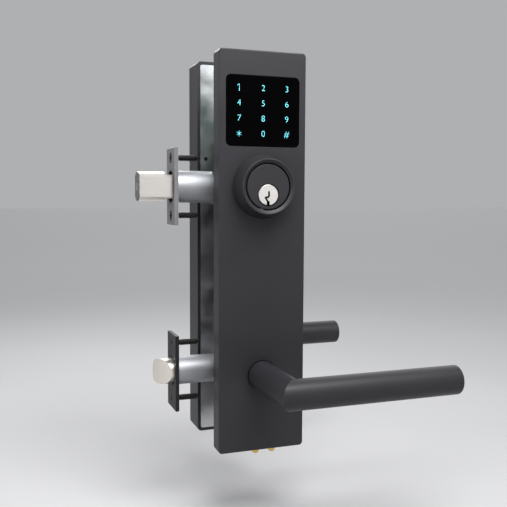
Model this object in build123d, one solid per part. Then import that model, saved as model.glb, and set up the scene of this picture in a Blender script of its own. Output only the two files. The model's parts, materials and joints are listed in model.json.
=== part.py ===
from build123d import *
import math
import os

# Keypad smart lock for a hinged door: outside unit, edge bolts and inside unit.
# Millimetres. +X points from the door edge towards the hinges, +Y into the door from
# outside, +Z up. The origin is on the door's outside face, on the lever spindle's axis.

# ---- door preparation -------------------------------------------------------
DOOR = 44.45                    # door thickness
BACKSET = 60.325                # door edge to spindle axis
LOCK_RISE = 139.7               # spindle axis up to the deadbolt's centreline
MID = DOOR / 2                  # middle of the door edge

# ---- outside unit -----------------------------------------------------------
PLATE_W = 67.0
PLATE_TOP = 237.4
PLATE_BOTTOM = -57.1
PLATE_T = 13.2
CORNER = 2.8
WALL = 2.2
FACE_WALL = 2.6
FRONT = -PLATE_T                # outside unit's front face
INNER = FRONT + FACE_WALL       # back of its front wall

GLASS_W = 56.4
GLASS_H = 50.6
GLASS_Z = 194.1
GLASS_R = 4.0
GLASS_GAP = 0.25
KEY_PITCH = (18.4, 10.9)        # across and down, between the keys of the 3 x 4 pad
TOP_KEY = 16.4                  # top row above the glass's centre
PCB_Y = INNER + 3.0             # front of the keypad board
KEYPAD_SCREW_X = 26.0
KEYPAD_SCREW_Z = (163.0, 225.5)
FLANGE_Z = (167.6, 222.2)       # edges of the seal and of the light guide's flange

COLLAR_BASE_R = 23.2
COLLAR_LIP_R = 19.95
COLLAR_H = 13.2
COLLAR_BORE_R = 17.1
COLLAR_DISH = 1.6
CYLINDER_R = 16.2
COLLAR_SCREW_X = 19.9
CYLINDER_FACE = FRONT - COLLAR_H + COLLAR_DISH
CYLINDER_BACK = 9.0
PLUG_DROP = 5.9                 # plug axis below the deadbolt's centreline
PLUG_Z = LOCK_RISE - PLUG_DROP
PLUG_R = 6.35
PLUG_HEAD_R = 7.5
PLUG_RECESS_R = 8.2             # counterbore round the plug's head
CAP_Y = CYLINDER_BACK + 0.3     # front of the cap on the plug's inner end
PIN_PITCH = 4.0
PIN_COUNT = 5
PIN_R = 1.42

CONTACT_X = (-3.2, 9.8)
CONTACT_Y = -8.4
CONTACT_R = 2.7
CONTACT_PROUD = 3.4

# ---- levers -----------------------------------------------------------------
LEVER_R = 10.7
LEVER_STANDOFF = 58.2           # plate face to arm axis
LEVER_REACH = 130.0             # spindle axis to arm tip
SPIGOT_R = 8.0
SPINDLE = 7.94                  # square spindle, across flats
LEVER_TURN = 45.0
CUP_R = 18.8
EXT_SPIGOT = 13.9                # end of the outside lever's spigot
INT_SPIGOT = DOOR - EXT_SPIGOT
SET_SCREW_Y = 77.0

# ---- edge bolts -------------------------------------------------------------
EDGE = -BACKSET
EDGE_PLATE = (2.8, 25.4, 57.15)
EDGE_SCREW_RISE = 21.45
EDGE_SCREW_R = 2.0
EDGE_SCREW_HEAD_R = 4.1
EDGE_SCREW_HEAD = 2.0
EDGE_SCREW_NECK_R = 2.3
EDGE_SCREW_LENGTH = 19.0
BOLT_R = 11.0
BOLT_FLAT = 16.0
BOLT_WAIST = 8.8                # half height of the thrown bolt where it leaves its faceplate
BOLT_WAIST_X = (EDGE - 5.8, EDGE + 2.2)
THROW = 25.4
LATCH_R = 9.7
LATCH_OUT = 12.7
CRANK_PIN_R = 1.9
CRANK_PIN_Y = (20.3, 24.5)
CRANK_ARM_Y = (24.3, 26.6)
PIN_GAP = 0.75                  # crank pin to slot side
TAIL_Y = (20.7, 23.7)           # faces of the bolts' tail plates
CHEEK = (14.7, 16.0, 28.45, 29.75)      # faces of the deadbolt cage's two cheeks
DEADBOLT_TUBE_R = 11.95
LATCH_TUBE_R = 10.7
TUBE_SINK = 0.9                 # case tubes end this far inside their faceplates' holes

# ---- inside unit ------------------------------------------------------------
HOUSING_T = 26.0
ROOM = DOOR + HOUSING_T         # inside unit's front face
ROOM_INNER = ROOM - WALL
BACK_PLATE_T = 2.0
BACK_PLATE = DOOR + BACK_PLATE_T
COVER_Z = 158.0
COVER_Y = 62.0
CELL_R = 7.2
CELL_L = 50.4
CELL_Y = 57.0
CELLS = [175.2 + 15.2 * k for k in range(4)]
HOUSING_SCREWS = [(-26.6, 162.0), (26.6, 162.0), (0.0, -44.0)]
SCREW_SEATS = [60.0, 60.0, ROOM]
BUTTON = (0.0, 80.0)
BUTTON_R = 2.4
COVER_LEG = (28.1, 29.7)        # the battery cover's guide legs, either side of the middle
COVER_FOOT = (29.6, 30.8)
COVER_LEG_Y = (57.9, 59.8)      # foot of each leg, behind the housing's rails

# ---- gears ------------------------------------------------------------------
MODULE = 0.8
DRIVE_TEETH = 40
IDLER_TEETH = 30
PINION_TEETH = 12
GEAR_Y = (60.0, 64.0)
IDLER_ANGLE = -60.0             # direction from the drive gear to the idler
PINION_ANGLE = 200.0            # direction from the idler to the pinion
IDLER_TOOTH = IDLER_ANGLE + 180 + 180 / IDLER_TEETH

RUN = 0.05                      # radial clearance of a running fit
BOLT_POSTS = [(0, -23.5), (0, 23.5), (0, LOCK_RISE - 23.5), (0, LOCK_RISE + 23.5)]
POST_R = 4.2
THROUGH_R = 2.5


# ---- shape helpers ----------------------------------------------------------
def block(x, y, z):
    """Box between two limits along each axis."""
    size = [abs(b - a) for a, b in (x, y, z)]
    middle = [(a + b) / 2 for a, b in (x, y, z)]
    return Pos(*middle) * Box(*size)


def rod_x(radius, x0, x1, y=MID, z=0.0):
    return Pos((x0 + x1) / 2, y, z) * Rot(0, 90, 0) * Cylinder(radius, abs(x1 - x0))


def rod_y(radius, y0, y1, x=0.0, z=0.0):
    return Pos(x, (y0 + y1) / 2, z) * Rot(90, 0, 0) * Cylinder(radius, abs(y1 - y0))


def rod_z(radius, z0, z1, x=0.0, y=0.0):
    return Pos(x, y, (z0 + z1) / 2) * Cylinder(radius, abs(z1 - z0))


def ring_y(outer, inner, y0, y1, x=0.0, z=0.0):
    return rod_y(outer, y0, y1, x, z) - rod_y(inner, y0 - 1, y1 + 1, x, z)


def prism_y(sketch, y0, y1):
    """Sketch drawn with X across and Z up, stretched from y0 to y1."""
    plane = Plane(origin=(0, y0, 0), x_dir=(1, 0, 0), z_dir=(0, -1, 0))
    return extrude(plane * sketch, amount=-(y1 - y0))


def slab(width, z0, z1, y0, y1, corner):
    outline = Pos(0, (z0 + z1) / 2) * RectangleRounded(width, z1 - z0, corner)
    return prism_y(outline, y0, y1)


def polar(radius, degrees, x=0.0, z=0.0):
    angle = math.radians(degrees)
    return (x + radius * math.cos(angle), z + radius * math.sin(angle))


DRIVE_AXIS = (0.0, PLUG_Z)
IDLER_AXIS = polar(MODULE * (DRIVE_TEETH + IDLER_TEETH) / 2, IDLER_ANGLE, *DRIVE_AXIS)
PINION_AXIS = polar(MODULE * (IDLER_TEETH + PINION_TEETH) / 2, PINION_ANGLE, *IDLER_AXIS)


def end_edges(shape, axis, last):
    return shape.faces().sort_by(axis)[-1 if last else 0].edges()


def joined(pieces):
    total = pieces[0]
    for piece in pieces[1:]:
        total = total + piece
    return total


def coil(mean, wire, length, turns, start, direction):
    """Round-wire helical spring that starts at a point and runs along a direction."""
    path = Helix(pitch=length / turns, height=length, radius=mean)
    section = Plane(origin=path @ 0, z_dir=path % 0) * Circle(wire)
    spring = sweep(section, path=path, is_frenet=True)
    return Plane(origin=start, z_dir=direction) * spring


# ---- outside unit -----------------------------------------------------------
def exterior_escutcheon():
    body = slab(PLATE_W, PLATE_BOTTOM, PLATE_TOP, FRONT, 0, CORNER)
    body = fillet(end_edges(body, Axis.Y, False), 0.9)
    cavity = (PLATE_W - 2 * WALL, PLATE_BOTTOM + WALL, PLATE_TOP - WALL)
    body -= slab(*cavity, INNER, 1, CORNER - 1)
    body -= slab(GLASS_W + 2 * GLASS_GAP, GLASS_Z - GLASS_H / 2 - GLASS_GAP,
                 GLASS_Z + GLASS_H / 2 + GLASS_GAP, FRONT - 1, 0, GLASS_R)
    for x, z in BOLT_POSTS:
        body += rod_y(POST_R, INNER - 0.5, -0.8, x, z)
        body -= rod_y(THROUGH_R + 0.03, INNER + 1, 0, x, z)
    body += ring_y(16.4, 14.05, INNER - 0.5, -2.0)
    body -= rod_y(LEVER_R + 0.6, FRONT - 1, INNER + 1)
    body -= rod_y(CYLINDER_R + 0.3, FRONT - 1, INNER + 1, 0, LOCK_RISE)
    for x in (-COLLAR_SCREW_X, COLLAR_SCREW_X):
        body -= rod_y(1.6, FRONT - 1, INNER + 1, x, LOCK_RISE)
    for x in CONTACT_X:
        body -= rod_z(3.6, PLATE_BOTTOM - 1, PLATE_BOTTOM + 5.3, x, CONTACT_Y)
    for x in (-KEYPAD_SCREW_X, KEYPAD_SCREW_X):
        for z in KEYPAD_SCREW_Z:
            body += rod_y(2.6, INNER - 0.5, PCB_Y, x, z)
            body -= rod_y(1.03, PCB_Y - 2.2, PCB_Y + 1, x, z)
    side = PLATE_W / 2 - WALL
    for z in (-46, -16, 44, 74, 104):
        for x in (-side, side):
            inward = -2 if x > 0 else 2
            body += block((x, x + inward), (INNER - 0.5, -2), (z - 3, z + 3))
    return body


def exterior_gasket():
    outer = (PLATE_W - 2 * WALL - 0.1, PLATE_BOTTOM + WALL + 0.05, PLATE_TOP - WALL - 0.05)
    inner = (outer[0] - 4, outer[1] + 2, outer[2] - 2)
    return slab(*outer, -2, 0, CORNER - 1) - slab(*inner, -3, 1, 1.0)


def keypad_glass():
    glass = slab(GLASS_W, GLASS_Z - GLASS_H / 2, GLASS_Z + GLASS_H / 2, FRONT, FRONT + 2, GLASS_R)
    return fillet(end_edges(glass, Axis.Y, False), 0.35)


def keypad_seal():
    ring = slab(61.6, *FLANGE_Z, INNER, INNER + 0.7, 2)
    return ring - slab(57.6, GLASS_Z - 25.9, GLASS_Z + 25.9, INNER - 1, INNER + 2, 4)


def light_guide():
    plate = slab(61.6, *FLANGE_Z, INNER + 0.7, INNER + 2.0, 2)
    return plate + slab(56.0, GLASS_Z - 25.1, GLASS_Z + 25.1, FRONT + 2, INNER + 1, 4)


def keypad_pcb():
    board = slab(60.0, 160.0, 228.5, PCB_Y, PCB_Y + 1.6, 1.5)
    board -= block((-6, 6), (PCB_Y - 1, PCB_Y + 3), (150, 168.5))
    for x in (-KEYPAD_SCREW_X, KEYPAD_SCREW_X):
        for z in KEYPAD_SCREW_Z:
            board -= rod_y(1.1, PCB_Y - 1, PCB_Y + 3, x, z)
    return board


def backlight_leds():
    rows = [GLASS_Z + TOP_KEY - KEY_PITCH[1] * k for k in range(4)]
    return [block((x - 1.5, x + 1.5), (PCB_Y - 0.95, PCB_Y), (z - 0.8, z + 0.8))
            for z in rows for x in (-KEY_PITCH[0], 0, KEY_PITCH[0])]


def keypad_screws():
    screws = []
    for x in (-KEYPAD_SCREW_X, KEYPAD_SCREW_X):
        for z in KEYPAD_SCREW_Z:
            head = rod_y(1.9, PCB_Y + 1.6, PCB_Y + 2.8, x, z)
            head -= block((x - 1.2, x + 1.2), (PCB_Y + 2.2, PCB_Y + 4), (z - 0.3, z + 0.3))
            screws.append(head + rod_y(1.0, PCB_Y - 2, PCB_Y + 1.7, x, z))
    return screws


def cylinder_collar():
    """Tapered ring with a rounded crest and a shallow dish down to the cylinder's face."""
    crest = FRONT - COLLAR_H
    profile = Polyline((COLLAR_BORE_R, FRONT), (COLLAR_BASE_R, FRONT), (COLLAR_LIP_R, crest),
                       (COLLAR_LIP_R - 0.9, crest), (COLLAR_BORE_R, crest + COLLAR_DISH), close=True)
    collar = Pos(0, 0, LOCK_RISE) * revolve(make_face(profile), axis=Axis.Y)
    collar = fillet(collar.edges().group_by(Axis.Y)[0], 0.4)
    for x in (-COLLAR_SCREW_X, COLLAR_SCREW_X):
        collar -= rod_y(1.53, FRONT - 5.2, FRONT + 1, x, LOCK_RISE)
    return collar


def pin_stations():
    first = CYLINDER_FACE + 6.0
    return [first + PIN_PITCH * k for k in range(PIN_COUNT)]


def cylinder_housing():
    body = rod_y(CYLINDER_R, CYLINDER_FACE, CYLINDER_BACK, 0, LOCK_RISE)
    body = fillet(end_edges(body, Axis.Y, False), 0.5)
    flange = prism_y(Pos(0, LOCK_RISE) * SlotOverall(46, 17), INNER, INNER + 3)
    body += flange
    for x in (-COLLAR_SCREW_X, COLLAR_SCREW_X):
        body -= rod_y(1.6, INNER - 1, INNER + 4, x, LOCK_RISE)
    body -= rod_y(PLUG_R + RUN, CYLINDER_FACE - 1, CYLINDER_BACK + 1, 0, PLUG_Z)
    body -= rod_y(PLUG_RECESS_R, CYLINDER_FACE - 1, CYLINDER_FACE + 2.8, 0, PLUG_Z)
    for y in pin_stations():
        body -= rod_z(1.5, PLUG_Z, PLUG_Z + 19.2, 0, y)
    return body


def stroke(start, end, width):
    """Straight bar of a given width between two points of a sketch."""
    run, rise = end[0] - start[0], end[1] - start[1]
    bar = Rectangle(math.hypot(run, rise) + width * 0.6, width)
    middle = Pos((start[0] + end[0]) / 2, (start[1] + end[1]) / 2)
    return middle * Rot(0, 0, math.degrees(math.atan2(rise, run))) * bar


def keyway():
    """Stepped, warded slot, open at the plug's underside, about the plug axis."""
    slot = stroke((0.2, 2.2), (0.25, -0.6), 1.4) + stroke((0.25, -0.6), (-0.6, -1.8), 1.4)
    slot += stroke((-0.6, -1.5), (-2.3, -1.7), 1.25) + stroke((-2.4, -1.9), (-0.4, -5.2), 1.4)
    return slot + stroke((-0.4, -5.0), (-0.3, -8.6), 2.2)


def cylinder_plug():
    plug = rod_y(PLUG_R, CYLINDER_FACE, CYLINDER_BACK + 0.3, 0, PLUG_Z)
    head = rod_y(PLUG_HEAD_R, CYLINDER_FACE - 0.5, CYLINDER_FACE + 2.5, 0, PLUG_Z)
    plug += chamfer(end_edges(head, Axis.Y, False), 0.45)
    plug -= prism_y(Pos(0, PLUG_Z) * keyway(), CYLINDER_FACE - 1, CYLINDER_BACK - 3)
    for y in pin_stations():
        plug -= rod_z(1.5, PLUG_Z - 2, PLUG_Z + PLUG_R + 1, 0, y)
    return plug


def key_pins():
    lows = (-0.6, 0.9, -1.4, 0.3, -0.9)
    return [rod_z(PIN_R, PLUG_Z + low, PLUG_Z + PLUG_R - 0.25, 0, y)
            for low, y in zip(lows, pin_stations())]


def driver_pins():
    return [rod_z(PIN_R, PLUG_Z + PLUG_R + 0.06, PLUG_Z + PLUG_R + 5.5, 0, y)
            for y in pin_stations()]


def pin_springs():
    base = PLUG_Z + PLUG_R + 5.5
    length = PLUG_Z + 19.2 - base - 0.7
    return [coil(1.05, 0.2, length, 6, (0, y, base + 0.3), (0, 0, 1)) for y in pin_stations()]


def plug_cap():
    cap = rod_y(8.2, CAP_Y, CAP_Y + 4.5, 0, PLUG_Z) - rod_y(5.0, CAP_Y - 1, CAP_Y + 3, 0, PLUG_Z)
    return cap - rod_y(3.7, CAP_Y, CAP_Y + 6, 0, PLUG_Z)


def cylinder_screws():
    screws = []
    for x in (-COLLAR_SCREW_X, COLLAR_SCREW_X):
        head = rod_y(2.9, INNER + 3, INNER + 5.2, x, LOCK_RISE)
        head -= block((x - 1.9, x + 1.9), (INNER + 4.1, INNER + 6), (LOCK_RISE - 0.4, LOCK_RISE + 0.4))
        screws.append(head + rod_y(1.5, FRONT - 5, INNER + 3.1, x, LOCK_RISE))
    return screws


def tailpiece():
    bar = block((-3.2, 3.2), (CAP_Y + 1.0, 66.0), (PLUG_Z - 0.8, PLUG_Z + 0.8))
    return bar + rod_y(4.6, CAP_Y + 0.4, CAP_Y + 2.6, 0, PLUG_Z)


def jump_contacts():
    contacts = []
    for x in CONTACT_X:
        stem = rod_z(CONTACT_R, PLATE_BOTTOM - CONTACT_PROUD, PLATE_BOTTOM + 5.0, x, CONTACT_Y)
        contacts.append(fillet(end_edges(stem, Axis.Z, False), 2.2))
    return contacts


def contact_insulators():
    washers = []
    for x in CONTACT_X:
        bush = rod_z(3.55, PLATE_BOTTOM - 0.3, PLATE_BOTTOM + 3.4, x, CONTACT_Y)
        flange = rod_z(4.6, PLATE_BOTTOM + WALL + 0.02, PLATE_BOTTOM + 3.4, x, CONTACT_Y)
        bush += flange & block((x - 5, x + 5), (INNER + 0.05, 0), (PLATE_BOTTOM, 0))
        washers.append(bush - rod_z(CONTACT_R + 0.02, PLATE_BOTTOM - 1, PLATE_BOTTOM + 6, x, CONTACT_Y))
    return washers


# ---- levers and what turns with them ----------------------------------------
def lever(side, face, neck_end, spigot_end, socket_end):
    """Mitred round-bar lever; side is -1 outside and +1 inside."""
    arm_y = face + side * LEVER_STANDOFF
    neck = rod_y(LEVER_R, neck_end, arm_y + side * 2 * LEVER_R)
    arm = rod_x(LEVER_R, -2 * LEVER_R, LEVER_REACH, arm_y, 0)
    arm = fillet(end_edges(arm, Axis.X, True), 1.2)
    corner = Pos(0, arm_y, 0) * Rot(0, 0, -45 * side)
    span = 3 * LEVER_REACH
    half = Pos(0, side * span / 2, 0) * Box(span, span, span)
    body = (neck - corner * half) + (arm & corner * half)
    body += rod_y(SPIGOT_R, neck_end, spigot_end)
    groove = spigot_end + side * 0.6
    body -= ring_y(SPIGOT_R + 1, 7.0, min(groove, groove + side * 1.2), max(groove, groove + side * 1.2))
    flat = SPINDLE / 2 + 0.06
    return body - block((-flat, flat), (spigot_end - side, socket_end), (-flat, flat))


def exterior_lever():
    return lever(-1, FRONT, -0.4, EXT_SPIGOT, -12.3)


def interior_lever():
    body = lever(1, ROOM, DOOR + 0.4, INT_SPIGOT, 82.5)
    return body - rod_z(2.05, -LEVER_R - 1, 0, 0, SET_SCREW_Y)


def lever_set_screw():
    screw = rod_z(2.0, -LEVER_R + 0.4, -SPINDLE / 2 - 0.05, 0, SET_SCREW_Y)
    socket = extrude(Plane((0, SET_SCREW_Y, -LEVER_R)) * RegularPolygon(1.1, 6), amount=2.4)
    return screw - socket


def spindle():
    half = SPINDLE / 2
    bar = block((-half, half), (-12.0, 82.0), (-half, half))
    return chamfer(bar.edges().filter_by(Axis.Y), 0.6)


def lever_retaining_rings():
    rings = []
    for y0 in (EXT_SPIGOT - 1.75, INT_SPIGOT + 0.65):
        ring = ring_y(9.6, 7.05, y0, y0 + 1.1)
        rings.append(ring - block((-2.6, 2.6), (y0 - 1, y0 + 2), (-12, 0)))
    return rings


def lever_bushes():
    return [ring_y(14.0, LEVER_R + RUN, y0, y0 + 7.0) for y0 in (INNER, ROOM_INNER - 7.0)]


def lever_spring_cups():
    cup = ring_y(CUP_R, LEVER_R + 0.3, -2.0, -0.8) + ring_y(CUP_R, CUP_R - 1.2, -2.0, 11.5)
    cup += ring_y(CUP_R, SPIGOT_R + RUN, 10.3, 11.5)
    return [cup, mirror(cup, Plane.XZ.offset(-MID))]


def lever_return_springs():
    spring = coil(13.0, 1.0, 7.0, 3.5, (0, 1.2, 0), (0, 1, 0))
    return [spring, mirror(spring, Plane.XZ.offset(-MID))]


# ---- edge bolts -------------------------------------------------------------
def edge_plate(z, hole_r):
    thick, wide, tall = EDGE_PLATE
    plate = block((EDGE, EDGE + thick), (MID - wide / 2, MID + wide / 2), (z - tall / 2, z + tall / 2))
    plate = chamfer(end_edges(plate, Axis.X, False), 0.25)
    plate -= rod_x(hole_r, EDGE - 1, EDGE + thick + 1, MID, z)
    for rise in (-EDGE_SCREW_RISE, EDGE_SCREW_RISE):
        plate -= screw_blank(z + rise, 0.04)
    return plate


def screw_blank(z, grow=0.0):
    """Countersunk head and neck of a screw driven towards +X from the door edge."""
    head = Pos(EDGE + EDGE_SCREW_HEAD / 2, MID, z) * Rot(0, 90, 0)
    cone = head * Cone(EDGE_SCREW_HEAD_R + grow, EDGE_SCREW_NECK_R + grow, EDGE_SCREW_HEAD)
    neck = rod_x(EDGE_SCREW_NECK_R + grow, EDGE + EDGE_SCREW_HEAD - 0.1, EDGE + EDGE_PLATE[0] + 0.2, MID, z)
    return cone + neck


def edge_screws(z):
    screws = []
    for rise in (-EDGE_SCREW_RISE, EDGE_SCREW_RISE):
        height = z + rise
        screw = screw_blank(height)
        tip = EDGE + EDGE_SCREW_LENGTH
        screw += rod_x(EDGE_SCREW_R, EDGE + 2.0, tip, MID, height)
        screw += Pos(tip + 1.5, MID, height) * Rot(0, 90, 0) * Cone(EDGE_SCREW_R, 0.3, 3.0)
        for half_y, half_z in ((2.3, 0.45), (0.45, 2.3)):
            screw -= block((EDGE - 1, EDGE + 1.7), (MID - half_y, MID + half_y),
                           (height - half_z, height + half_z))
        screws.append(screw)
    return screws


def deadbolt_bolt():
    """Round bar with two flats and a waist, and the tail plate that the cam's pin drives."""
    tip = EDGE - THROW
    bar = rod_x(BOLT_R, tip, -48.0, MID, LOCK_RISE)
    bar &= block((tip, -48.0), (MID - BOLT_FLAT / 2, MID + BOLT_FLAT / 2),
                 (LOCK_RISE - 20, LOCK_RISE + 20))
    bar = fillet(end_edges(bar, Axis.X, False), 0.8)
    for sign in (-1, 1):
        bar -= block(BOLT_WAIST_X, (MID - 20, MID + 20),
                     (LOCK_RISE + sign * BOLT_WAIST, LOCK_RISE + sign * (BOLT_R + 1)))
    bar -= rod_x(3.05, tip - 1, tip + 20, MID, LOCK_RISE)
    bar += block((-49, -8.0), TAIL_Y, (141.5, 149.5))
    bar += block((-17.2, -8.0), TAIL_Y, (141.5, 154.0))
    slot_x = -THROW / 2
    half = CRANK_PIN_R + PIN_GAP
    return bar - block((slot_x - half, slot_x + half), (20, 25), (143.6, 155))


def anti_saw_pin():
    tip = EDGE - THROW
    return rod_x(3.0, tip + 0.05, tip + 19.5, MID, LOCK_RISE)


def crank(z, hub_r, hub_y, trunnion_r, trunnion_y, reach, degrees):
    """Hub with an arm beside the tail plate and a pin through the tail plate's slot."""
    body = rod_y(hub_r, *hub_y, 0, z) + rod_y(trunnion_r, *trunnion_y, 0, z)
    arm = Rectangle(6.0, reach + 0.5, align=(Align.CENTER, Align.MIN)) + Pos(0, reach) * Circle(3.0)
    arm = Pos(0, z) * Rot(0, 0, -degrees) * arm
    body += prism_y(arm, *CRANK_ARM_Y)
    x, height = polar(reach, 90 - degrees, 0, z)
    return body + rod_y(CRANK_PIN_R, *CRANK_PIN_Y, x, height)


def deadbolt_cam():
    cam = crank(PLUG_Z, 6.2, (16.3, 28.15), 5.0, (14.9, 29.55), THROW / math.sqrt(2), -45)
    return cam - block((-3.3, 3.3), (10, 35), (PLUG_Z - 0.95, PLUG_Z + 0.95))


def deadbolt_case():
    tube = rod_x(DEADBOLT_TUBE_R, EDGE + TUBE_SINK, -21, MID, LOCK_RISE)
    tube -= rod_x(BOLT_R + 0.12, EDGE, -20, MID, LOCK_RISE)
    cheeks = []
    for y in (CHEEK[:2], CHEEK[2:]):
        cheeks.append(block((-30, 19), y, (126.5, 151.5)))
    cheeks.append(block((17.5, 19), (CHEEK[0], CHEEK[3]), (126.5, 151.5)))
    cage = joined(cheeks)
    cage -= rod_x(BOLT_R + 0.12, EDGE, -20, MID, LOCK_RISE)
    cage -= rod_y(5.0 + RUN, 10, 35, 0, PLUG_Z)
    return tube + cage


def bevel_head():
    """Spring bolt head: a round bar whose outside half slopes back in a shallow curve."""
    tip = EDGE - LATCH_OUT
    bar = rod_x(LATCH_R, tip, -44, MID, 0)
    bar = fillet(end_edges(bar, Axis.X, False), 0.7)
    bevel = Line((tip - 1, 28.9), (tip, 27.8)) + ThreePointArc((tip, 27.8), (-68.2, 20.5), (-61.9, 12.0))
    bevel += Line((-61.9, 12.0), (-61.9, 5)) + Line((-61.9, 5), (tip - 1, 5))
    bevel += Line((tip - 1, 5), (tip - 1, 28.9))
    return bar - Pos(0, 0, -15) * extrude(make_face(bevel), amount=30)


def latch_bolt():
    return bevel_head() + rod_x(3.0, -44.5, -20.6, MID, 0)


def latch_retractor():
    plate = block((-23.8, -20.8), (18.2, 26.2), (-5, 11.6))
    plate += block((-23.8, -20.8), TAIL_Y, (11.0, 20.0))
    plate += block((-21, -1.8), TAIL_Y, (11.6, 20.0))
    slot_x = -LATCH_OUT / 2
    half = CRANK_PIN_R + PIN_GAP
    plate -= block((slot_x - half, slot_x + half), (20, 25), (13.0, 21))
    return plate - rod_x(3.03, -30, -15, MID, 0)


def latch_case():
    tube = rod_x(LATCH_TUBE_R, EDGE + TUBE_SINK, -24.6, MID, 0)
    tube -= rod_x(LATCH_R + 0.12, EDGE, -26.6, MID, 0)
    return tube - rod_x(3.3, -30, -20, MID, 0)


def latch_cage():
    frame = block((-24.4, 13.2), (14.6, 29.85), (-10.8, 20.6))
    frame -= block((-24.0 + 1.2, 11.9), (16.1, 28.35), (-12, 30))
    frame -= block((-26, -22), (MID - 5.5, MID + 5.5), (-9, 30))
    return frame - rod_y(7.0 + RUN, 10, 35)


def latch_hub():
    reach = LATCH_OUT / (2 * math.sin(math.radians(LEVER_TURN / 2)))
    hub = crank(0, 7.0, (14.3, 30.15), 7.0, (14.3, 30.15), reach, -LEVER_TURN / 2)
    half = SPINDLE / 2 + 0.06
    return hub - block((-half, half), (10, 35), (-half, half))


def latch_spring():
    return coil(5.6, 0.6, 15.6, 6, (-43.2, MID, 0), (1, 0, 0))


# ---- inside unit ------------------------------------------------------------
def interior_mounting_plate():
    plate = slab(PLATE_W - 2 * WALL - 0.6, PLATE_BOTTOM + WALL + 0.3, PLATE_TOP - WALL - 0.3,
                 DOOR, BACK_PLATE, 1.5)
    plate -= rod_y(CUP_R + 0.2, 40, 50)
    plate -= rod_y(9, 40, 50, 0, PLUG_Z)
    plate -= rod_y(4.2, 40, 50, 19, 155.5)
    for x, z in BOLT_POSTS:
        plate -= rod_y(THROUGH_R + 0.2, 40, 50, x, z)
    for x, z in HOUSING_SCREWS:
        plate -= rod_y(1.55, 40, 50, x, z)
    return plate


def interior_housing():
    body = slab(PLATE_W, PLATE_BOTTOM, PLATE_TOP, DOOR, ROOM, CORNER)
    body = fillet(end_edges(body, Axis.Y, True), 2.0)
    body -= slab(PLATE_W - 2 * WALL, PLATE_BOTTOM + WALL, PLATE_TOP - WALL, DOOR - 1, ROOM_INNER,
                 CORNER - 1)
    body -= block((-40, 40), (COVER_Y, ROOM + 1), (COVER_Z, PLATE_TOP + 1))
    body += ring_y(16.4, 14.05, ROOM_INNER - 7.0, ROOM_INNER + 0.5)
    body -= rod_y(LEVER_R + 0.6, ROOM_INNER - 1, ROOM + 1)
    body -= rod_y(9.0 + RUN, ROOM_INNER - 1, ROOM + 1, 0, PLUG_Z)
    body -= rod_y(BUTTON_R + 0.1, ROOM_INNER - 1, ROOM + 1, *BUTTON)
    side = PLATE_W / 2 - WALL
    for sign in (-1, 1):
        body += block((sign * (side + 0.5), sign * (side - 1.3)), (60.2, COVER_Y), (168, 232))
        body -= block((sign * (COVER_LEG[0] - 0.4), sign * (COVER_FOOT[1] + 0.4)),
                      (COVER_LEG_Y[0] - 0.4, COVER_Y + 1), (PLATE_TOP - 5, PLATE_TOP + 1))
    for (x, z), seat in zip(HOUSING_SCREWS, SCREW_SEATS):
        reach = min(seat, ROOM_INNER + 0.5)
        body += rod_y(3.8, BACK_PLATE + 0.02, reach, x, z)
        if x:
            body += block((x, math.copysign(side + 0.5, x)), (BACK_PLATE + 0.02, seat), (z - 2, z + 2))
        body -= rod_y(1.7, DOOR, ROOM + 1, x, z)
        body -= rod_y(3.2, seat - 2.2, ROOM + 1, x, z)
    return body


def housing_screws():
    screws = []
    for (x, z), seat in zip(HOUSING_SCREWS, SCREW_SEATS):
        head = rod_y(3.0, seat - 2.2, seat - 0.2, x, z)
        for half_x, half_z in ((1.9, 0.4), (0.4, 1.9)):
            head -= block((x - half_x, x + half_x), (seat - 1.4, seat + 1), (z - half_z, z + half_z))
        screws.append(head + rod_y(1.5, DOOR + 0.1, seat - 2.1, x, z))
    return screws


def battery_cover():
    low = COVER_Z + 0.3
    body = slab(PLATE_W, low - 10, PLATE_TOP, COVER_Y + 0.3, ROOM, CORNER)
    body = fillet(end_edges(body, Axis.Y, True), 2.0)
    body -= slab(PLATE_W - 4.4, low - 20, PLATE_TOP - WALL, COVER_Y - 1, ROOM_INNER, CORNER - 1)
    body -= block((-40, 40), (50, 80), (low - 30, low))
    for sign in (-1, 1):
        leg = [sign * x for x in COVER_LEG]
        foot = [sign * x for x in COVER_FOOT]
        body += block(leg, (COVER_LEG_Y[0], ROOM_INNER + 0.5), (170, 230))
        body += block(foot, COVER_LEG_Y, (170, 230))
    for k in range(3):
        body -= rod_x(0.5, -9, 9, ROOM + 0.1, low + 6 + 2.4 * k)
    return body


def battery_tray():
    tray = block((-27.9, 27.9), (BACK_PLATE + 0.2, 62.0), (CELLS[0] - 9.4, CELLS[-1] + 9.4))
    tray -= block((-26.5, 26.5), (CELL_Y, 63), (CELLS[0] - 8.2, CELLS[-1] + 8.2))
    tray -= rod_y(5.0, DOOR, BACK_PLATE + 3, *BOLT_POSTS[-1])
    for z in CELLS:
        tray -= rod_x(CELL_R + 0.15, -26.5, 26.5, CELL_Y, z)
    return tray


def batteries():
    cells = []
    for index, z in enumerate(CELLS):
        sign = 1 if index % 2 else -1
        body = rod_x(CELL_R, -CELL_L / 2 + (1.2 if sign < 0 else 0), CELL_L / 2 - (1.2 if sign > 0 else 0),
                     CELL_Y, z)
        nub = sorted((sign * (CELL_L / 2 - 1.3), sign * CELL_L / 2))
        cells.append(body + rod_x(2.7, *nub, CELL_Y, z))
    return cells


def battery_contacts():
    leaves = []
    for z in CELLS:
        for sign in (-1, 1):
            x = sorted((sign * (CELL_L / 2 + 0.05), sign * 26.0))
            leaves.append(block(x, (CELL_Y - 4, CELL_Y + 5), (z - 4.5, z + 4.5)))
    return leaves


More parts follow.
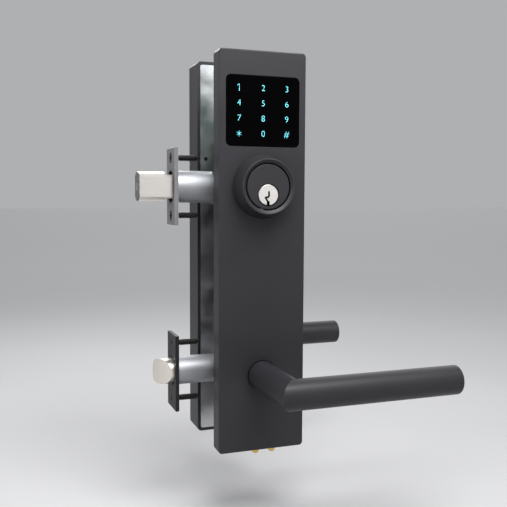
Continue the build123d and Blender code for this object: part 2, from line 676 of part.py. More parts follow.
def main_pcb():
    board = slab(56.0, 28.0, 92.0, BACK_PLATE + 2, BACK_PLATE + 3.6, 1.5)
    top = BACK_PLATE + 3.5
    chips = (((-20, -8), 2.0, (60, 72)), ((0, 6), 1.4, (62, 68)), ((-18, -10), 6.0, (36, 44)),
             ((-4, 10), 1.8, (38, 46)), ((16, 24), 5.0, (34, 42)), ((-24, -17), 3.0, (80, 90)),
             ((-3, 3), 1.0, (77, 83)))
    for x, rise, z in chips:
        board += block(x, (top, top + rise), z)
    for x in (-25, 25):
        for z in (31, 89):
            board += rod_y(1.8, BACK_PLATE, BACK_PLATE + 2.5, x, z)
    return board


def program_button():
    return rod_y(BUTTON_R, BACK_PLATE + 5.6, ROOM + 0.4, *BUTTON) + rod_y(3.6, 66.4, 67.2, *BUTTON)


def gear(teeth, x, z, tooth_angle, bore):
    """Spur gear with straight-sided teeth thinned for backlash; one tooth points at tooth_angle."""
    pitch_r = MODULE * teeth / 2
    thin = math.degrees(0.09 / pitch_r)
    tooth = 90.0 / teeth - thin
    lean = math.degrees(MODULE * math.tan(math.radians(20)) / pitch_r)
    outline = []
    for k in range(teeth):
        centre = tooth_angle + 360.0 * k / teeth
        foot = pitch_r - 1.2 * MODULE
        top = pitch_r + 0.92 * MODULE
        outline += [polar(foot, centre - tooth - 1.1 * lean), polar(top, centre - tooth + lean),
                    polar(top, centre + tooth - lean), polar(foot, centre + tooth + 1.1 * lean)]
    face = Pos(x, z) * make_face(Polyline(*outline, close=True))
    return prism_y(face, *GEAR_Y) - rod_y(bore, 50, 70, x, z)


def drive_gear():
    return gear(DRIVE_TEETH, *DRIVE_AXIS, IDLER_ANGLE, 6.02)


def idler_gear():
    return gear(IDLER_TEETH, *IDLER_AXIS, IDLER_TOOTH, 1.5 + RUN)


def motor_pinion():
    pitch = 360.0 / IDLER_TEETH
    offset = (PINION_ANGLE - IDLER_TOOTH) % pitch
    tooth = PINION_ANGLE + 180 + offset * IDLER_TEETH / PINION_TEETH + 180 / PINION_TEETH
    x, z = PINION_AXIS
    return gear(PINION_TEETH, x, z, tooth, 0.7) + rod_y(0.75, 50.0, 65.5, x, z)


def motor():
    x, z = PINION_AXIS
    body = rod_y(6.0, 48.0, 56.9, x, z) & block((x - 5, x + 5), (40, 60), (z - 7, z + 7))
    return body - rod_y(0.75 + RUN, 49.5, 60, x, z)


def gear_bracket():
    plate = block((-24, 29), (57.0, 58.6), (92, 151))
    plate -= rod_y(6.8, 50, 60, 0, PLUG_Z)
    x, z = PINION_AXIS
    plate -= rod_y(2.0, 50, 60, x, z)
    plate -= block((20, 30), (50, 60), (146, 160))
    plate += rod_y(1.5, 58.0, 65.5, *IDLER_AXIS)
    for leg in ((-21, 148), (-21, 95), (26, 143), (26, 95)):
        plate += rod_y(2.4, BACK_PLATE, 57.5, *leg)
    return plate


def thumbturn():
    knob = rod_y(6.0, 59.5, 73.0, 0, PLUG_Z) + rod_y(13.0, ROOM + 1.4, ROOM + 4.2, 0, PLUG_Z)
    outline = Pos(0, PLUG_Z) * SlotOverall(38, 12)
    blade = extrude(Plane(origin=(0, ROOM + 4.0, 0), x_dir=(1, 0, 0), z_dir=(0, -1, 0)) * outline,
                    amount=-17, taper=3)
    knob += fillet(end_edges(blade, Axis.Y, True), 1.6)
    return knob - block((-3.35, 3.35), (55, 67), (PLUG_Z - 0.95, PLUG_Z + 0.95))


def thumbturn_bush():
    bush = rod_y(9.0, ROOM_INNER - 1.5, ROOM + 0.5, 0, PLUG_Z)
    bush += rod_y(15.0, ROOM + 0.02, ROOM + 1.1, 0, PLUG_Z)
    return bush - rod_y(6.0 + RUN, 60, 80, 0, PLUG_Z)


# ---- what joins the two units -----------------------------------------------
def through_bolts():
    bolts = []
    for x, z in BOLT_POSTS:
        bolt = rod_y(THROUGH_R, INNER + 2, BACK_PLATE + 0.5, x, z)
        head = rod_y(4.4, BACK_PLATE + 0.02, BACK_PLATE + 2.6, x, z)
        for half_x, half_z in ((2.4, 0.5), (0.5, 2.4)):
            head -= block((x - half_x, x + half_x), (BACK_PLATE + 1.2, BACK_PLATE + 4),
                          (z - half_z, z + half_z))
        bolts.append(bolt + head)
    return bolts


def wire_harness():
    """Captive lead through the upper door bore, with a plug on each board."""
    x, y0, y1 = 19.0, -3.4, 53.0
    route = FilletPolyline((x, y0, 176), (x, y0, 155.5), (x, y1, 155.5), (x, y1, 88), radius=6)
    section = Plane(origin=(x, y0, 176), z_dir=(0, 0, -1)) * Circle(1.5)
    lead = sweep(section, path=route)
    start = block((x - 4, x + 4), (PCB_Y + 1.6, -1.4), (175, 181))
    end = block((x - 4, x + 4), (BACK_PLATE + 3.6, 55.5), (82, 88.5))
    return lead + start + end


NODES = [
    exterior_escutcheon, exterior_gasket, keypad_glass, keypad_seal, light_guide, keypad_pcb,
    backlight_leds, keypad_screws, cylinder_collar, cylinder_housing, cylinder_plug, key_pins,
    driver_pins, pin_springs, plug_cap, cylinder_screws, tailpiece, jump_contacts,
    contact_insulators, exterior_lever, interior_lever, lever_set_screw, spindle,
    lever_retaining_rings, lever_bushes, lever_spring_cups, lever_return_springs,
    deadbolt_bolt, anti_saw_pin, deadbolt_cam, deadbolt_case, latch_bolt, latch_retractor,
    latch_case, latch_cage, latch_hub, latch_spring, interior_mounting_plate, interior_housing,
    housing_screws, battery_cover, battery_tray, batteries, battery_contacts, main_pcb,
    program_button, drive_gear, idler_gear, motor_pinion, motor, gear_bracket, thumbturn,
    thumbturn_bush, through_bolts, wire_harness,
]
PARTS = {make.__name__: make() for make in NODES}
PARTS["deadbolt_faceplate"] = edge_plate(LOCK_RISE, DEADBOLT_TUBE_R + RUN)
PARTS["latch_faceplate"] = edge_plate(0.0, LATCH_TUBE_R + RUN)
PARTS["deadbolt_faceplate_screws"] = edge_screws(LOCK_RISE)
PARTS["latch_faceplate_screws"] = edge_screws(0.0)

os.makedirs("parts", exist_ok=True)
for name, shape in PARTS.items():
    if isinstance(shape, list):
        solids = [solid for piece in shape for solid in piece.solids()]
        shape = solids[0] if len(solids) == 1 else Compound(children=solids)
    export_step(shape, f"parts/{name}.step")
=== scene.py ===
import bpy
import json
import math
from mathutils import Matrix, Vector


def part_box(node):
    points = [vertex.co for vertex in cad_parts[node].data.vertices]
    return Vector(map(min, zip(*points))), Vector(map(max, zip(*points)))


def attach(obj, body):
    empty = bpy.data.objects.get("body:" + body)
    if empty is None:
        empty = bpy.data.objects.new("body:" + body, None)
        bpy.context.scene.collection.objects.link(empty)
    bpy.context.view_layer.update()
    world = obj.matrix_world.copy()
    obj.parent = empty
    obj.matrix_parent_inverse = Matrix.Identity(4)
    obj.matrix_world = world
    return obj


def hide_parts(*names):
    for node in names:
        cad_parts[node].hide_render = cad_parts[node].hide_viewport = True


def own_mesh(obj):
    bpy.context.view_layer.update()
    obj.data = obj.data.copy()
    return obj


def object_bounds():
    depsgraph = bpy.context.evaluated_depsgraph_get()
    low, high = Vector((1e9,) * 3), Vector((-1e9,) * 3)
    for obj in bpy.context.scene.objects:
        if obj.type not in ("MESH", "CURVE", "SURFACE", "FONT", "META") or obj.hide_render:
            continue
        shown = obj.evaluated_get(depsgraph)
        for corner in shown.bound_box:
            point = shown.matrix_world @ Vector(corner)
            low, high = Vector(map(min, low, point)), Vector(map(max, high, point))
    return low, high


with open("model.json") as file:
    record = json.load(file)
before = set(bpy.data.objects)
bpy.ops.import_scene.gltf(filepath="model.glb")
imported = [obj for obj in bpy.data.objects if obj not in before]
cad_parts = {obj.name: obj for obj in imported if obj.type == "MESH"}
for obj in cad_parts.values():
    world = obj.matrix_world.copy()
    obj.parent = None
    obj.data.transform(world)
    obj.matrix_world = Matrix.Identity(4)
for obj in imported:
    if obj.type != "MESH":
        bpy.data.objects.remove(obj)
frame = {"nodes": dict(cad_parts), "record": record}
cad_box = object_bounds()
nodes = frame["nodes"]


# ---- camera ----------------------------------------------------------------------------
CAMERA_PLACE = (-0.18724, -0.51344, 0.13411)
CAMERA_TURN = (19.81, -4.63, 0.24)      # yaw, pitch and roll, in degrees
CAMERA_LENS = 51.73                     # in millimetres, on a 36 mm sensor


def make_camera():
    """Outside the door, left of the lock and a little above its lever, looking slightly down."""
    yaw, pitch, roll = (math.radians(a) for a in CAMERA_TURN)
    forward = Vector((math.sin(yaw) * math.cos(pitch), math.cos(yaw) * math.cos(pitch), math.sin(pitch)))
    level = Vector((math.cos(yaw), -math.sin(yaw), 0))
    upright = level.cross(forward)
    right = math.cos(roll) * level + math.sin(roll) * upright
    up = math.cos(roll) * upright - math.sin(roll) * level
    data = bpy.data.cameras.new("camera")
    data.lens = CAMERA_LENS
    data.sensor_width = 36.0
    data.clip_start, data.clip_end = 0.01, 20
    camera = bpy.data.objects.new("camera", data)
    bpy.context.scene.collection.objects.link(camera)
    turn = Matrix((right, up, -forward)).transposed()
    camera.matrix_world = Matrix.Translation(CAMERA_PLACE) @ turn.to_4x4()
    bpy.context.scene.camera = camera


make_camera()


# ---- shader building --------------------------------------------------------------------
class Paint:
    """One material's node tree, with short calls for the nodes that the finishes share."""

    def __init__(self, name):
        self.material = bpy.data.materials.new(name)
        self.material.use_nodes = True
        self.tree = self.material.node_tree
        self.shader = self.tree.nodes["Principled BSDF"]
        self.where = self.add("ShaderNodeTexCoord").outputs["Object"]

    def add(self, kind, **settings):
        node = self.tree.nodes.new(kind)
        for key, value in settings.items():
            setattr(node, key, value)
        return node

    def join(self, source, socket):
        self.tree.links.new(source, socket)

    def set(self, **values):
        for key, value in values.items():
            self.shader.inputs[key.replace("_", " ")].default_value = value

    def stretched(self, scale, turn=(0, 0, 0)):
        mapping = self.add("ShaderNodeMapping")
        mapping.inputs["Scale"].default_value = scale
        mapping.inputs["Rotation"].default_value = turn
        self.join(self.where, mapping.inputs["Vector"])
        return mapping.outputs["Vector"]

    def noise(self, scale, detail=2.0, rough=0.5, vector=None):
        node = self.add("ShaderNodeTexNoise")
        node.inputs["Scale"].default_value = scale
        node.inputs["Detail"].default_value = detail
        node.inputs["Roughness"].default_value = rough
        self.join(vector or self.where, node.inputs["Vector"])
        return node.outputs["Fac"]

    def ramp(self, source, low, high, start=0.3, end=0.7):
        """A number that goes from low to high while the source goes from start to end."""
        node = self.add("ShaderNodeMapRange")
        node.inputs["From Min"].default_value = start
        node.inputs["From Max"].default_value = end
        node.inputs["To Min"].default_value = low
        node.inputs["To Max"].default_value = high
        self.join(source, node.inputs["Value"])
        return node.outputs["Result"]

    def blend(self, factor, first, second):
        """The first colour where the factor is 0, and the second where it is 1."""
        node = self.add("ShaderNodeMix", data_type="RGBA")
        for name, value in (("A", first), ("B", second)):
            socket = [s for s in node.inputs if s.name == name and s.type == "RGBA"][0]
            if isinstance(value, tuple):
                socket.default_value = (*value, 1)
            else:
                self.join(value, socket)
        self.join(factor, node.inputs["Factor"])
        return [s for s in node.outputs if s.type == "RGBA"][0]

    def maths(self, operation, first, second):
        node = self.add("ShaderNodeMath", operation=operation)
        for socket, value in zip(node.inputs, (first, second)):
            if isinstance(value, (int, float)):
                socket.default_value = value
            else:
                self.join(value, socket)
        return node.outputs[0]

    def bump(self, height, strength, distance, under=None):
        node = self.add("ShaderNodeBump")
        node.inputs["Strength"].default_value = strength
        node.inputs["Distance"].default_value = distance
        self.join(height, node.inputs["Height"])
        if under is not None:
            self.join(under, node.inputs["Normal"])
        return node.outputs["Normal"]

    def edges(self, radius):
        """0 on flat faces, rising towards 1 on sharp edges."""
        bevel = self.add("ShaderNodeBevel", samples=4)
        bevel.inputs["Radius"].default_value = radius
        plain = self.add("ShaderNodeNewGeometry")
        dot = self.add("ShaderNodeVectorMath", operation="DOT_PRODUCT")
        self.join(bevel.outputs["Normal"], dot.inputs[0])
        self.join(plain.outputs["Normal"], dot.inputs[1])
        return self.ramp(dot.outputs["Value"], 1.0, 0.0, 0.75, 0.995)

    def crevice(self, reach):
        """1 in the open, falling towards 0 in corners and gaps narrower than the reach."""
        node = self.add("ShaderNodeAmbientOcclusion", samples=8)
        node.inputs["Distance"].default_value = reach
        return node.outputs["AO"]

    def beyond(self, axis, place, soft=0.0001):
        """0 up to a place along one axis of the object, and 1 beyond it."""
        split = self.add("ShaderNodeSeparateXYZ")
        self.join(self.where, split.inputs[0])
        return self.ramp(split.outputs[axis], 0, 1, place - soft, place + soft)

    def finish(self, colour, roughness=None, normal=None):
        self.join(colour, self.shader.inputs["Base Color"])
        if roughness is not None:
            self.join(roughness, self.shader.inputs["Roughness"])
        if normal is not None:
            self.join(normal, self.shader.inputs["Normal"])
        return self.material


def shade(colour, factor):
    """The same hue, darker below 1 and lighter above it."""
    return tuple(c * factor for c in colour)


# ---- finishes ---------------------------------------------------------------------------
ALONG_X = (1, 60, 60)           # draws a texture out into streaks along X


def powder_coat(name, colour, rough=0.44, grain=0.5, edge_highlight=0.35, gloss=0.3, shade_reach=0.024):
    """Matte coating: fine orange peel, soft patches of sheen, a painted highlight along edges and
    painted shade in corners.
    """
    p = Paint(name)
    patches = p.noise(14, 4)
    grains = p.noise(4200, 2)
    peel = p.noise(900, 3)
    base = p.blend(p.ramp(patches, 0, 1), shade(colour, 0.88), shade(colour, 1.12))
    specks = p.blend(p.ramp(grains, 0, 0.5, 0.55, 0.75), base, shade(colour, 1.7))
    # painted highlight: the colour is made lighter along edges, where light catches them
    painted_light = p.blend(p.maths("MULTIPLY", p.edges(0.0005), edge_highlight), specks, shade(colour, 3.2))
    # painted shade: the colour darkens towards near-black in corners and gaps narrower than the reach
    painted_light = p.blend(p.ramp(p.crevice(shade_reach), 0.9, 0.0, 0.2, 0.9), painted_light, shade(colour, 0.15))
    sheen = p.maths("ADD", p.ramp(patches, rough - 0.04, rough + 0.05), p.ramp(grains, -0.03, 0.03))
    normal = p.bump(peel, 0.25 * grain, 0.0002, p.bump(grains, 0.35 * grain, 0.00006))
    p.set(Specular_IOR_Level=gloss)
    return p.finish(painted_light, sheen, normal)


def satin_metal(name, colour, along=ALONG_X, rough=0.3):
    """Satin metal with fine brushing, drawn out along the axes whose scale is small."""
    p = Paint(name)
    brushing = p.noise(70, 4, 0.65, p.stretched(along))
    clouds = p.noise(35, 3)
    tone = p.blend(p.ramp(brushing, 0, 1, 0.25, 0.75), shade(colour, 0.93), shade(colour, 1.05))
    tone = p.blend(p.ramp(clouds, 0, 0.35), tone, shade(colour, 0.9))
    # painted highlight: the colour is made lighter along edges, where light catches them
    bright = p.blend(p.maths("MULTIPLY", p.edges(0.0004), 0.5), tone, shade(colour, 1.25))
    p.set(Metallic=1.0)
    gloss = p.maths("ADD", p.ramp(brushing, rough - 0.05, rough + 0.07), p.ramp(clouds, -0.03, 0.03))
    return p.finish(bright, gloss, p.bump(brushing, 0.12, 0.00008))


def turned_plug(name, colour):
    """Nickel plug face with faint turned rings, and the keyway behind the face painted near-black as
    shade.
    """
    p = Paint(name)
    low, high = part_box("cylinder_plug")
    axis = (low + high) / 2
    rings = p.add("ShaderNodeTexWave", wave_type="RINGS", rings_direction="Y")
    rings.inputs["Scale"].default_value = 620
    rings.inputs["Distortion"].default_value = 1.5
    centred = p.add("ShaderNodeMapping")
    centred.inputs["Location"].default_value = (-axis.x, 0, -axis.z)
    p.join(p.where, centred.inputs["Vector"])
    p.join(centred.outputs["Vector"], rings.inputs["Vector"])
    clouds = p.noise(260, 3)
    tone = p.blend(p.ramp(rings.outputs["Fac"], 0, 0.6), shade(colour, 1.02), shade(colour, 0.9))
    tone = p.blend(p.ramp(clouds, 0, 0.4), tone, shade(colour, 0.84))
    # painted shade: everything more than 0.6 mm behind the face, down the keyway, is coloured near-black
    tone = p.blend(p.beyond("Y", low.y + 0.0006), tone, (0.004, 0.0035, 0.003))
    p.set(Metallic=1.0)
    return p.finish(tone, p.ramp(clouds, 0.26, 0.36), p.bump(rings.outputs["Fac"], 0.08, 0.00004))


def cast_bolt(name, colour, end):
    """Satin bolt with a painted highlight along its edges, and an end face that is darker and mottled.
    """
    p = Paint(name)
    brushing = p.noise(70, 4, 0.65, p.stretched(ALONG_X))
    mottle = p.noise(420, 4, 0.6)
    tone = p.blend(p.ramp(brushing, 0, 1, 0.25, 0.75), shade(colour, 0.95), shade(colour, 1.04))
    # painted highlight: the colour is made lighter along edges, where light catches them
    tone = p.blend(p.maths("MULTIPLY", p.edges(0.0006), 0.8), tone, (0.97, 0.96, 0.94))
    # the end face is coloured darker and mottled
    dark_end = p.blend(p.ramp(mottle, 0, 1, 0.42, 0.6), (0.07, 0.067, 0.065), (0.30, 0.29, 0.28))
    tone = p.blend(p.beyond("X", end + 0.0005), dark_end, tone)
    p.set(Metallic=1.0)
    return p.finish(tone, p.ramp(brushing, 0.28, 0.38), p.bump(brushing, 0.1, 0.00006))


def cloudy_metal(p, colour, darkest, lightest):
    """Colour of cloudy metal with small handling marks, and the two textures that it follows."""
    clouds = p.noise(60, 4)
    grains = p.noise(900, 3)
    tone = p.blend(p.ramp(clouds, 0, 1), shade(colour, darkest), shade(colour, lightest))
    marked = p.blend(p.ramp(grains, 0, 0.4, 0.5, 0.8), tone, shade(colour, 0.6))
    return marked, clouds, grains


def plated_steel(name, colour, rough=0.34):
    """Cloudy satin metal, such as zinc-plated steel or brass."""
    p = Paint(name)
    tone, clouds, grains = cloudy_metal(p, colour, 0.82, 1.1)
    p.set(Metallic=1.0)
    return p.finish(tone, p.ramp(clouds, rough - 0.06, rough + 0.12), p.bump(grains, 0.15, 0.00006))


def shade_lipped(name, colour, lip_end):
    """Zinc-plated tube whose lip, inside the faceplate, is painted near-black as the shade in the gap
    round the bolt.
    """
    p = Paint(name)
    tone, clouds, grains = cloudy_metal(p, colour, 0.8, 1.05)
    # painted shade: the tube is coloured near-black up to the back of the faceplate, and keeps its zinc
    # tone beyond
    tone = p.blend(p.beyond("X", lip_end), (0.006, 0.006, 0.006), tone)
    p.set(Metallic=1.0)
    return p.finish(tone, p.ramp(clouds, 0.48, 0.6), p.bump(grains, 0.15, 0.00006))


def moulded(name, colour, rough=0.5):
    """Injection-moulded plastic with a spark-eroded texture."""
    p = Paint(name)
    patches = p.noise(40, 3)
    texture = p.noise(1600, 2)
    tone = p.blend(p.ramp(patches, 0, 1), shade(colour, 0.9), shade(colour, 1.1))
    return p.finish(tone, p.ramp(texture, rough - 0.06, rough + 0.08), p.bump(texture, 0.3, 0.0001))


def touch_glass(name):
    """Black touch glass that reflects little, with faint smears and specks of dust."""
    p = Paint(name)
    smears = p.noise(55, 5, 0.6, p.stretched((1, 1, 0.6)))
    dust = p.noise(2600, 2)
    tone = p.blend(p.ramp(dust, 0, 1, 0.72, 0.85), (0.0008, 0.0008, 0.001), (0.003, 0.0032, 0.004))
    p.set(Specular_IOR_Level=0.02)
    return p.finish(tone, p.ramp(smears, 0.05, 0.2, 0.4, 0.8))


def circuit_board(name):
    """Dark green solder mask, lighter over its tracks, with a weave under it."""
    p = Paint(name)
    tracks = p.add("ShaderNodeTexBrick")
    tracks.inputs["Scale"].default_value = 260
    tracks.inputs["Mortar Size"].default_value = 0.06
    p.join(p.stretched((1, 1, 1), (math.radians(90), 0, 0)), tracks.inputs["Vector"])
    weave = p.noise(1500, 2)
    mask = p.ramp(tracks.outputs["Fac"], 0, 1, 0, 1)
    tone = p.blend(mask, (0.006, 0.05, 0.022), (0.02, 0.13, 0.06))
    tone = p.blend(p.ramp(weave, 0, 0.3), tone, (0.01, 0.03, 0.02))
    return p.finish(tone, p.ramp(weave, 0.28, 0.4), p.bump(tracks.outputs["Fac"], 0.3, 0.00005))


def sleeved_cell(name):
    """Battery sleeve: dark body with a plain copper-coloured band towards one end."""
    p = Paint(name)
    tone = p.blend(p.beyond("X", 0.0116), (0.02, 0.022, 0.026), (0.42, 0.19, 0.07))
    scuffs = p.noise(300, 3)
    tone = p.blend(p.ramp(scuffs, 0, 0.25), tone, (0.1, 0.1, 0.1))
    p.set(Metallic=0.35, Coat_Weight=0.4)
    return p.finish(tone, p.ramp(scuffs, 0.22, 0.34))


def foam(name):
    """Closed-cell black foam, pitted by its cut cells."""
    p = Paint(name)
    voronoi = p.add("ShaderNodeTexVoronoi")
    voronoi.inputs["Scale"].default_value = 2200
    p.join(p.where, voronoi.inputs["Vector"])
    cells = voronoi.outputs["Distance"]
    tone = p.blend(p.ramp(cells, 0, 1, 0.1, 0.6), (0.008, 0.008, 0.008), (0.035, 0.035, 0.037))
    return p.finish(tone, p.ramp(cells, 0.95, 0.75), p.bump(cells, 0.5, 0.0002))


def glowing(name, colour, strength):
    """Backlit print or lit lamp: an even colour with slow, slight changes of brightness."""
    p = Paint(name)
    uneven = p.noise(120, 2)
    tone = p.blend(p.ramp(uneven, 0, 1), shade(colour, 0.8), colour)
    p.join(tone, p.shader.inputs["Emission Color"])
    p.set(Emission_Strength=strength, Roughness=0.4)
    return p.finish(tone)


BLACK = (0.018, 0.0175, 0.0205)
# The black faceplate's tone is darker than the coating's and the grey faceplate's lighter; the split is
# partly the plates' own finish and partly painted shade and light, where light falls differently on the
# two plates
FACEPLATE_BLACK = (0.0095, 0.0092, 0.010)
NICKEL = (0.86, 0.82, 0.77)
ZINC = (0.56, 0.57, 0.59)
TUBE_ZINC = (0.40, 0.41, 0.43)
FINISHES = {
    "black_coating": powder_coat("black_coating", BLACK),
    "black_faceplate": powder_coat("black_faceplate", FACEPLATE_BLACK, rough=0.46, edge_highlight=0.8, gloss=0.2),
    "grey_faceplate": powder_coat("grey_faceplate", (0.14, 0.136, 0.142),
                                  rough=0.36, grain=1.2, edge_highlight=0.6),
    "satin_nickel": cast_bolt("satin_nickel", shade(NICKEL, 1.04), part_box("deadbolt_bolt")[0].x),
    "zinc_steel": plated_steel("zinc_steel", ZINC),
    "hardened_steel": satin_metal("hardened_steel", (0.42, 0.42, 0.44), rough=0.22),
    "brass": plated_steel("brass", (0.72, 0.53, 0.22), rough=0.26),
    "gold_contact": satin_metal("gold_contact", (0.74, 0.48, 0.12), along=(1, 1, 12), rough=0.2),
    "black_plastic": moulded("black_plastic", (0.022, 0.022, 0.024)),
    "white_plastic": moulded("white_plastic", (0.8, 0.82, 0.82), rough=0.4),
    "gear_plastic": moulded("gear_plastic", (0.78, 0.75, 0.66), rough=0.42),
    "glass": touch_glass("glass"),
    "board": circuit_board("board"),
    "led": glowing("led", (0.25, 0.75, 0.95), 0.6),
    "foam": foam("foam"),
    "cell": sleeved_cell("cell"),
    "lead": moulded("lead", (0.03, 0.03, 0.034), rough=0.55),
}


def coat(node, material):
    mesh = nodes[node].data
    mesh.materials.clear()
    mesh.materials.append(material)


for subpart in frame["record"]["subparts"]:
    coat(subpart["node"], FINISHES[subpart["material_slot"]])

# these nodes take a variant of their slot's finish; the exterior lever's coating is a slightly lighter
# copy of the black coating, as painted light, and both levers keep their painted corner shade short
coat("exterior_lever", powder_coat("lever_coating", shade(BLACK, 1.02), shade_reach=0.004))
coat("interior_lever", powder_coat("inner_lever_coating", BLACK, shade_reach=0.004))
coat("cylinder_plug", turned_plug("turned_plug", (0.95, 0.92, 0.88)))
coat("latch_bolt", satin_metal("latch_nickel", (0.72, 0.68, 0.62)))
for bolt in ("deadbolt", "latch"):
    plate_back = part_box(f"{bolt}_faceplate")[1].x
    coat(f"{bolt}_case", shade_lipped(f"{bolt}_tube", TUBE_ZINC, plate_back))


# ---- keypad legends ---------------------------------------------------------------------
STROKES = {
    # in shares of the mark's height, about its middle
    "1": [((-0.26, 0.24), (0.02, 0.48), (0.02, -0.5))],
    "*": [((0, 0.4), (0, -0.4)), ((-0.34, 0.2), (0.34, -0.2)), ((-0.34, -0.2), (0.34, 0.2))],
    "#": [((-0.34, -0.46), (-0.06, 0.46)), ((0.02, -0.46), (0.3, 0.46)),
          ((-0.34, 0.15), (0.4, 0.15)), ((-0.42, -0.17), (0.3, -0.17))],
}
STROKE_WIDTH = {"1": 0.0004, "*": 0.00024, "#": 0.00024}
MARK_HEIGHT = 0.0051
LETTER_SIZE = 0.0062
LETTER_THINNING = 0.00013
LETTER_DEPTH = 0.0003
FLATTENED = 0.1             # share that is kept of a mark's depth
LEGEND_PROUD = 0.00002      # how far the marks' middle plane stands off the glass
KEY_PITCH = Vector((0.0184, 0, -0.0109))    # to the next column, and to the next row
TOP_ROW = 0.0164            # height of the first row over the middle of the glass


def stroke_mark(name, lines, width):
    """A mark drawn as straight strokes of even width."""
    curve = bpy.data.curves.new(name, "CURVE")
    curve.dimensions = "3D"
    curve.bevel_depth = width / 2
    curve.bevel_resolution = 2
    curve.use_fill_caps = True
    for line in lines:
        spline = curve.splines.new("POLY")
        spline.points.add(len(line) - 1)
        for point, (x, y) in zip(spline.points, line):
            point.co = (x * MARK_HEIGHT, y * MARK_HEIGHT, 0, 1)
    return curve


def letter_mark(name, mark):
    """A digit in the plain built-in typeface, thinned a little."""
    curve = bpy.data.curves.new(name, "FONT")
    curve.body = mark
    curve.size = LETTER_SIZE
    curve.offset = -LETTER_THINNING
    curve.extrude = LETTER_DEPTH
    curve.align_x = "CENTER"
    curve.align_y = "CENTER"
    return curve


def keypad_legends():
    """Twelve backlit key marks, laid on the glass in four rows of three."""
    low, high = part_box("keypad_glass")
    centre = (low + high) / 2
    glow = glowing("legend_glow", (0.15, 0.70, 0.80), 1.0)
    for row, marks in enumerate(("123", "456", "789", "*0#")):
        for column, mark in enumerate(marks):
            name = f"legend_{row}{column}"
            if mark in STROKES:
                curve = stroke_mark(name, STROKES[mark], STROKE_WIDTH[mark])
            else:
                curve = letter_mark(name, mark)
            curve.materials.append(glow)
            legend = bpy.data.objects.new(name, curve)
            legend.rotation_euler = (math.radians(90), 0, 0)
            legend.scale = (1, 1, FLATTENED)
            legend.location = (centre.x + (column - 1) * KEY_PITCH.x, low.y - LEGEND_PROUD,
                               centre.z + TOP_ROW + row * KEY_PITCH.z)
            bpy.context.scene.collection.objects.link(legend)
            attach(legend, "lock_body")


keypad_legends()


# ---- screw threads ----------------------------------------------------------------------
EDGE_THREAD = {"radius": 0.002, "pitch": 0.0017, "ridge": 0.00042}
EDGE_THREAD_START = 0.0055      # from the screw's head
EDGE_THREAD_END = 0.0012        # from its tip
BOLT_THREAD = {"radius": 0.0025, "pitch": 0.0008, "ridge": 0.0002}
BOLT_THREAD_Y = (0.0003, 0.024)     # behind the door's outside face
BOLT_HEAD_R = 0.0044
BOLT_PITCH = 0.047              # between the bolts above and below a bore
STEPS_PER_TURN = 16
TAPERS = 8                      # each end tapers over 1 / TAPERS of the thread
THIN_END = 0.15                 # share of the ridge that is left at its very end


def thread(name, start, end, slot, radius, pitch, ridge):
    """Helical ridge round a shank between two points, tapering into it at both ends."""
    start, end = Vector(start), Vector(end)
    along = (end - start).normalized()
    side = along.cross(Vector((0, 0, 1))) if abs(along.z) < 0.9 else Vector((1, 0, 0))
    other = along.cross(side)
    turns = (end - start).length / pitch
    count = int(turns * STEPS_PER_TURN)
    curve = bpy.data.curves.new(name, "CURVE")
    curve.dimensions = "3D"
    curve.bevel_depth = ridge
    curve.bevel_resolution = 1
    spline = curve.splines.new("POLY")
    spline.points.add(count)
    for k, point in enumerate(spline.points):
        angle = 2 * math.pi * turns * k / count
        fade = min(1, TAPERS * k / count, TAPERS * (count - k) / count)
        spot = start + (end - start) * k / count
        spot = spot + radius * (math.cos(angle) * side + math.sin(angle) * other)
        point.co = (*spot, 1)
        point.radius = THIN_END + (1 - THIN_END) * fade
    curve.materials.append(FINISHES[slot])
    piece = bpy.data.objects.new(name, curve)
    bpy.context.scene.collection.objects.link(piece)
    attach(piece, "lock_body")


def edge_screw_threads():
    for plate in ("deadbolt", "latch"):
        low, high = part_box(f"{plate}_faceplate_screws")
        middle = (low.y + high.y) / 2
        head = (high.y - low.y) / 2
        for place, z in (("lower", low.z + head), ("upper", high.z - head)):
            start = (low.x + EDGE_THREAD_START, middle, z)
            end = (high.x - EDGE_THREAD_END, middle, z)
            thread(f"{plate}_{place}_thread", start, end, "black_faceplate", **EDGE_THREAD)


def through_bolt_threads():
    low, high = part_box("through_bolts")
    lowest = low.z + BOLT_HEAD_R
    highest = high.z - BOLT_HEAD_R
    start, end = BOLT_THREAD_Y
    for k, z in enumerate((lowest, lowest + BOLT_PITCH, highest - BOLT_PITCH, highest)):
        thread(f"through_bolt_thread_{k}", (0, start, z), (0, end, z), "zinc_steel", **BOLT_THREAD)


edge_screw_threads()
through_bolt_threads()


def latch_spring_coil():
    """The latch's spring, as a copy of the part with its own mesh, riding on the lock body in place of
    the hidden part.
    """
    node = nodes["latch_spring"]
    coil = bpy.data.objects.new("latch_spring_coil", node.data.copy())
    coil.matrix_world = node.matrix_world.copy()
    bpy.context.scene.collection.objects.link(coil)
    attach(coil, "lock_body")
    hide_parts("latch_spring")
    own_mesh(coil)


latch_spring_coil()


# ---- floor and light --------------------------------------------------------------------
FLOOR_SIZE = 24
FLOOR_DROP = 0.05               # below the lock's lowest point
FLOOR_FADE = 2.0                # the floor's painted tone, darker in the middle and lighter far off to offset the lamps' falloff, changes over this distance from its middle
FLOOR_FAR = (0.50, 0.505, 0.515)
SURROUND = (0.93, 0.94, 0.96, 1)
SURROUND_STRENGTH = 0.46


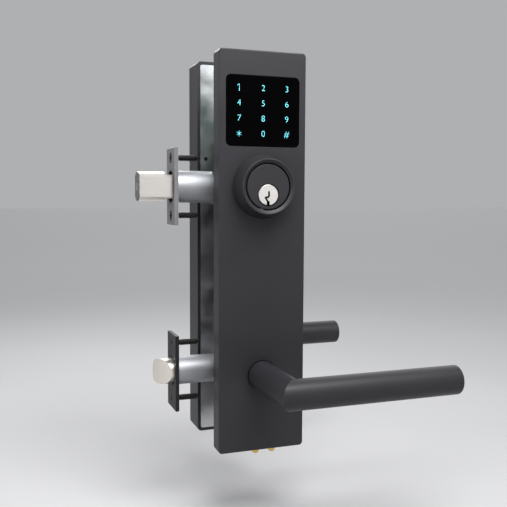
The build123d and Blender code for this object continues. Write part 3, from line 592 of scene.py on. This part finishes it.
def make_stage():
    """Plain pale floor, painted darker under the lock and lighter far off to offset the lamps' falloff,
    and an even surround of soft light.
    """
    lowest = cad_box[0].z
    bpy.ops.mesh.primitive_plane_add(size=FLOOR_SIZE, location=(0, 0, lowest - FLOOR_DROP))
    floor = bpy.context.object
    floor.name = "floor"
    p = Paint("floor")
    p.set(Roughness=0.7)
    spread = p.add("ShaderNodeTexGradient", gradient_type="SPHERICAL")
    p.join(p.stretched((1 / FLOOR_FADE,) * 3), spread.inputs["Vector"])
    cloudy = p.blend(p.ramp(p.noise(3, 2), 0, 1), (0.40, 0.40, 0.405), (0.43, 0.43, 0.435))
    # painted shade and light: the floor is coloured darker near its middle, where the lamps light it
    # most, and lighter far off, where their light falls off
    painted_falloff = p.ramp(spread.outputs["Fac"], 0, 1, 0, 0.9)
    floor.data.materials.append(p.finish(p.blend(painted_falloff, FLOOR_FAR, cloudy)))
    world = bpy.data.worlds.new("world")
    bpy.context.scene.world = world
    world.use_nodes = True
    background = world.node_tree.nodes["Background"]
    background.inputs["Color"].default_value = SURROUND
    background.inputs["Strength"].default_value = SURROUND_STRENGTH
    bpy.context.scene.view_settings.view_transform = "Standard"


def softbox(name, position, target, size, power):
    """White rectangular lamp that faces a target."""
    data = bpy.data.lights.new(name, "AREA")
    data.shape = "RECTANGLE"
    data.size, data.size_y = size
    data.energy = power
    lamp = bpy.data.objects.new(name, data)
    lamp.location = position
    lamp.rotation_euler = (Vector(target) - Vector(position)).to_track_quat("-Z", "Y").to_euler()
    bpy.context.scene.collection.objects.link(lamp)


def broad_glow(name, position, strength):
    """Very soft light from far off in one direction, which reaches all of the floor alike."""
    data = bpy.data.lights.new(name, "SUN")
    data.energy = strength
    data.angle = math.radians(60)
    lamp = bpy.data.objects.new(name, data)
    lamp.location = position
    lamp.rotation_euler = (-Vector(position)).to_track_quat("-Z", "Y").to_euler()
    bpy.context.scene.collection.objects.link(lamp)


make_stage()
softbox("overhead", (0.05, -0.34, 0.62), (0, 0, 0.22), (0.5, 0.3), 7)
softbox("upper_left", (-0.6, -0.75, 0.65), (0, 0, 0.1), (0.4, 0.4), 2.6)
softbox("upper_right", (0.45, -0.95, 0.62), (0, 0, 0.2), (0.35, 0.25), 0.7)
softbox("front_right", (0.55, -1.3, -0.02), (0, 0, 0.1), (0.6, 0.55), 0.7)
softbox("left_strip", (-1.4, -0.1, 0.3), (0, 0, 0.1), (0.5, 1.0), 4.8)
broad_glow("room_side", (0.6, 1.4, 0.9), 1.0)
softbox("room_overhead", (-0.1, 0.6, 0.62), (0, 0.07, 0.18), (0.5, 0.3), 3.2)
